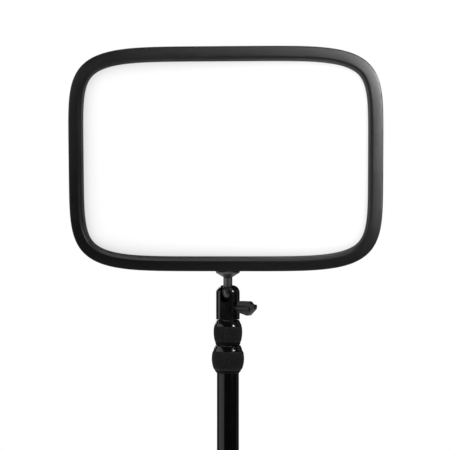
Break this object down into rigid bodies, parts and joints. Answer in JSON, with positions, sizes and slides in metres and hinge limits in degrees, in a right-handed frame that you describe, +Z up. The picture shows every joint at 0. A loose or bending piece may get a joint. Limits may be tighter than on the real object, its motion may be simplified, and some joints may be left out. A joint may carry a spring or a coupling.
{
  "type": "led panel light",
  "caption": "Rounded rectangular LED panel light with a lit opal face, on a ball head and telescoping twist-lock pole with a desk clamp.",
  "frame": {"origin": "on the pole's axis in the underside of the upper jaw pad, where it rests on the desk top", "axes": "+Z up along the pole, -Y the way the light faces, +X to the right as seen from the front"},
  "size_m": [0.35, 0.0729, 0.9771],
  "materials": {
    "bezel_black": "fine satin moulded texture",
    "trim_black": "smooth satin",
    "opal_diffuser": "opal, lit from behind",
    "film_white": "frosted film",
    "foam_grey": "closed-cell foam",
    "clear_acrylic": "clear, etched with dots",
    "reflector_white": "white reflective sheet",
    "tray_aluminium": "mill finish",
    "board_green": "solder mask",
    "strip_white": "white solder mask on aluminium",
    "led_yellow": "phosphor cap",
    "part_black": "moulded electronic parts",
    "switch_grey": "moulded",
    "inlet_black": "moulded socket",
    "cover_black": "fine satin moulded texture",
    "button_grey": "satin",
    "screw_black": "black zinc",
    "screw_steel": "zinc plated",
    "lead_red": "insulated lead",
    "block_aluminium": "machined",
    "stud_dark": "dark anodised, polished",
    "disc_dark": "dark anodised",
    "seat_nylon": "black nylon",
    "socket_black": "gloss black coat",
    "knob_black": "moulded gloss",
    "tube_black": "black anodised aluminium tube",
    "nut_black": "moulded gloss",
    "grip_rubber": "fine ribbed rubber",
    "bush_white": "acetal",
    "clamp_black": "fine powder coat",
    "pad_rubber": "grooved rubber",
    "clamp_knob_black": "moulded"
  },
  "bodies": {
    "clamp": {"clamp_frame": "clamp_black", "upper_jaw_pad": "pad_rubber", "pole_screws": "screw_black", "lower_tube": "tube_black", "lower_split_sleeve": "bush_white", "lower_lock_base": "nut_black"},
    "lower_lock": {"lower_lock_nut": "nut_black", "lower_lock_grip": "grip_rubber"},
    "middle_section": {"middle_tube": "tube_black", "lower_guide_bush": "bush_white", "upper_lock_base": "nut_black", "upper_split_sleeve": "bush_white"},
    "upper_lock": {"upper_lock_nut": "nut_black", "upper_lock_grip": "grip_rubber"},
    "upper_slider": {"upper_guide_bush": "bush_white"},
    "upper_section": {"upper_tube": "tube_black", "tube_top_plug": "block_aluminium", "socket_screw": "screw_steel", "ball_socket": "socket_black", "ball_seat": "seat_nylon"},
    "ball_lock": {"wing_knob": "knob_black", "clamp_bolt": "screw_steel", "bolt_washer": "screw_black"},
    "ball": {"ball_stud": "stud_dark"},
    "disc": {"lock_disc": "disc_dark"},
    "panel": {"front_bezel": "bezel_black", "trim_ring": "trim_black", "diffuser_panel": "opal_diffuser", "diffusion_film": "film_white", "foam_gasket": "foam_grey", "light_guide_plate": "clear_acrylic", "reflector_sheet": "reflector_white", "light_tray": "tray_aluminium", "led_strips": "strip_white", "led_packages": "led_yellow", "cover_posts": "block_aluminium", "rear_cover": "cover_black", "cover_screws": "screw_black", "board_standoffs": "block_aluminium", "control_board": "board_green", "board_screws": "screw_steel", "board_parts": "part_black", "button_switches": "switch_grey", "dc_inlet": "inlet_black", "led_leads": "lead_red", "mount_block": "block_aluminium", "mount_block_screws": "screw_steel"},
    "power_key": {"power_button": "button_grey"},
    "reset_key": {"reset_button": "button_grey"},
    "jaw": {"pressure_plate": "clamp_black", "lower_jaw_pad": "pad_rubber"},
    "screw": {"clamp_screw": "screw_steel", "clamp_knob": "clamp_knob_black", "knob_pin": "screw_steel"}
  },
  "joints": [
    {"name": "middle_section_slide", "type": "slide", "parent": "clamp", "child": "middle_section", "axis": [0, 0, 1], "range_m": [0, 0.35]},
    {"name": "upper_section_slide", "type": "slide", "parent": "middle_section", "child": "upper_slider", "axis": [0, 0, 1], "range_m": [0, 0.35]},
    {"name": "upper_section_turn", "type": "hinge", "parent": "upper_slider", "child": "upper_section", "pos_m": [0, 0, 0.511], "axis": [0, 0, 1], "continuous": true},
    {"name": "lower_lock_turn", "type": "hinge", "parent": "clamp", "child": "lower_lock", "pos_m": [0, 0, 0.4666], "axis": [0, 0, 1], "range_deg": [0, 180]},
    {"name": "upper_lock_turn", "type": "hinge", "parent": "middle_section", "child": "upper_lock", "pos_m": [0, 0, 0.4971], "axis": [0, 0, 1], "range_deg": [0, 180]},
    {"name": "wing_knob_turn", "type": "hinge", "parent": "upper_section", "child": "ball_lock", "pos_m": [0, 0, 0.5246], "axis": [0.788, -0.6157, 0], "range_deg": [-180, 0]},
    {"name": "ball_tilt", "type": "hinge", "parent": "upper_section", "child": "ball", "pos_m": [0, 0, 0.5415], "axis": [0.9703, -0.2419, 0], "range_deg": [-13, 84]},
    {"name": "lock_disc_turn", "type": "hinge", "parent": "ball", "child": "disc", "pos_m": [0, -0.0019, 0.56241], "axis": [0, -0.0906, 0.9959], "range_deg": [-180, 0]},
    {"name": "panel_turn", "type": "hinge", "parent": "ball", "child": "panel", "pos_m": [0, -0.00227, 0.5664], "axis": [0, -0.0906, 0.9959], "continuous": true},
    {"name": "power_button_press", "type": "slide", "parent": "panel", "child": "power_key", "axis": [0, -0.9959, -0.0906], "range_m": [0, 0.0007], "stiffness_N_per_m": 400, "springref_m": -0.002},
    {"name": "reset_button_press", "type": "slide", "parent": "panel", "child": "reset_key", "axis": [0, -0.9959, -0.0906], "range_m": [0, 0.0005], "stiffness_N_per_m": 400, "springref_m": -0.002},
    {"name": "clamp_screw_turn", "type": "hinge", "parent": "jaw", "child": "screw", "pos_m": [0, 0, -0.1], "axis": [0, 0, 1], "range_deg": [-3080, 7220]},
    {"name": "clamp_jaw_slide", "type": "slide", "parent": "clamp", "child": "jaw", "axis": [0, 0, 1], "range_m": [-0.017, 0.04]}
  ],
  "couplings": [
    {"joint": "clamp_screw_turn", "follows": "clamp_jaw_slide", "rad_per_m": 3141.6}
  ]
}
